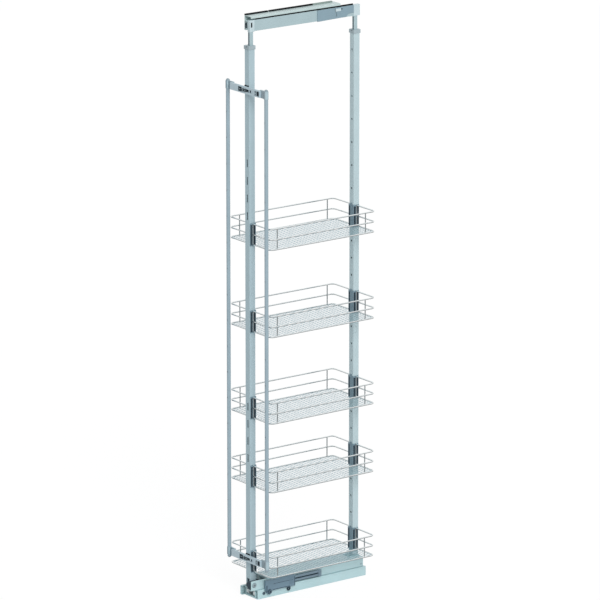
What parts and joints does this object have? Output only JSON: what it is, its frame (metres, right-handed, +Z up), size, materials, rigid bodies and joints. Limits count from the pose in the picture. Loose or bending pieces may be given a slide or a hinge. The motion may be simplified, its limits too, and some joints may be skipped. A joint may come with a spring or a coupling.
{
  "type": "pull out pantry frame",
  "caption": "Tall pull-out larder frame: two posts on a floor runner, telescopic top guide, wire baskets hung in holders between the posts, and a rod frame that carries the cabinet door.",
  "frame": {"origin": "middle of the base rail's floor fixing holes, on the cabinet floor, midway between the posts", "axes": "+Z up, -Y towards the door (the way the frame pulls out), X across the cabinet"},
  "size_m": [0.255, 0.5145, 2.147],
  "materials": {
    "grey_steel": "silver-grey powder coat, satin",
    "rail_steel": "pale grey coat, satin",
    "slate_plastic": "slate-grey moulded plastic",
    "grey_plastic": "light grey moulded plastic",
    "dark_plastic": "dark grey moulded plastic",
    "nylon": "white nylon",
    "aluminium": "anodised, satin",
    "bright_steel": "zinc plated",
    "damper_grey": "mid grey",
    "wire_chrome": "bright plated wire",
    "mesh_silver": "bright plated expanded mesh",
    "black_rubber": "black, dull"
  },
  "bodies": {
    "cabinet_base": {"base_rail": "rail_steel", "roller_bracket": "rail_steel", "roller_axle": "bright_steel", "rail_bolts": "bright_steel", "soft_close_housing": "slate_plastic", "damper_cylinder": "damper_grey", "spring_tube": "damper_grey"},
    "roller_pair": {"front_rollers": "nylon"},
    "soft_close_catch": {"catch_carriage": "dark_plastic", "catch_lever": "dark_plastic", "damper_rod": "bright_steel"},
    "base_middle": {"middle_rail": "rail_steel", "lower_shoes": "nylon", "upper_shoes": "nylon"},
    "frame": {"base_beam": "rail_steel", "front_foot": "dark_plastic", "rear_foot": "rail_steel", "foot_bolts": "bright_steel", "front_post": "grey_steel", "rear_post": "grey_steel", "front_collar": "grey_plastic", "rear_collar": "grey_plastic", "collar_screws": "bright_steel", "holders_1": "slate_plastic", "holders_2": "slate_plastic", "holders_3": "slate_plastic", "holders_4": "slate_plastic", "holders_5": "slate_plastic", "bar_plates": "grey_steel", "bar_screws": "bright_steel"},
    "door_frame": {"left_rod": "grey_steel", "right_rod": "grey_steel", "rod_caps": "grey_plastic", "upper_bar": "grey_steel", "lower_bar": "grey_steel", "rod_clamps": "grey_steel", "bar_inserts": "dark_plastic"},
    "head": {"front_inner_post": "aluminium", "rear_inner_post": "aluminium", "inner_guides": "dark_plastic", "top_bar": "aluminium", "top_front_bracket": "aluminium", "top_rear_bracket": "aluminium", "top_cover": "slate_plastic"},
    "top_middle": {"top_middle_rail": "rail_steel", "top_glides": "nylon"},
    "top_fixed": {"top_rail": "aluminium", "top_strips": "black_rubber"},
    "basket_1": {"basket_1_wires": "wire_chrome", "basket_1_mesh": "mesh_silver"},
    "basket_2": {"basket_2_wires": "wire_chrome", "basket_2_mesh": "mesh_silver"},
    "basket_3": {"basket_3_wires": "wire_chrome", "basket_3_mesh": "mesh_silver"},
    "basket_4": {"basket_4_wires": "wire_chrome", "basket_4_mesh": "mesh_silver"},
    "basket_5": {"basket_5_wires": "wire_chrome", "basket_5_mesh": "mesh_silver"}
  },
  "joints": [
    {"name": "pull_out", "type": "slide", "parent": "cabinet_base", "child": "frame", "axis": [0, -1, 0], "range_m": [0, 0.48]},
    {"name": "base_middle_slide", "type": "slide", "parent": "cabinet_base", "child": "base_middle", "axis": [0, -1, 0], "range_m": [0, 0.24]},
    {"name": "front_roller_spin", "type": "hinge", "parent": "cabinet_base", "child": "roller_pair", "pos_m": [0, -0.2225, 0.017], "axis": [1, 0, 0], "range_deg": [0, 1180]},
    {"name": "catch_slide", "type": "slide", "parent": "cabinet_base", "child": "soft_close_catch", "axis": [0, -1, 0], "range_m": [0, 0.06]},
    {"name": "door_side_adjust", "type": "slide", "parent": "frame", "child": "door_frame", "axis": [1, 0, 0], "range_m": [-0.003, 0.003]},
    {"name": "post_height", "type": "slide", "parent": "frame", "child": "head", "axis": [0, 0, 1], "range_m": [-0.04, 0.12]},
    {"name": "top_rail_height", "type": "slide", "parent": "cabinet_base", "child": "top_fixed", "axis": [0, 0, 1], "range_m": [-0.04, 0.12]},
    {"name": "top_middle_slide", "type": "slide", "parent": "top_fixed", "child": "top_middle", "axis": [0, -1, 0], "range_m": [0, 0.24]},
    {"name": "basket_1_lift", "type": "slide", "parent": "frame", "child": "basket_1", "axis": [0, 0, 1], "range_m": [0, 0.09]},
    {"name": "basket_2_lift", "type": "slide", "parent": "frame", "child": "basket_2", "axis": [0, 0, 1], "range_m": [0, 0.09]},
    {"name": "basket_3_lift", "type": "slide", "parent": "frame", "child": "basket_3", "axis": [0, 0, 1], "range_m": [0, 0.09]},
    {"name": "basket_4_lift", "type": "slide", "parent": "frame", "child": "basket_4", "axis": [0, 0, 1], "range_m": [0, 0.09]},
    {"name": "basket_5_lift", "type": "slide", "parent": "frame", "child": "basket_5", "axis": [0, 0, 1], "range_m": [0, 0.09]}
  ],
  "couplings": [
    {"joint": "base_middle_slide", "follows": "pull_out", "ratio": 0.5},
    {"joint": "top_middle_slide", "follows": "pull_out", "ratio": 0.5},
    {"joint": "front_roller_spin", "follows": "pull_out", "rad_per_m": 42.735},
    {"joint": "top_rail_height", "follows": "post_height", "ratio": 1}
  ]
}
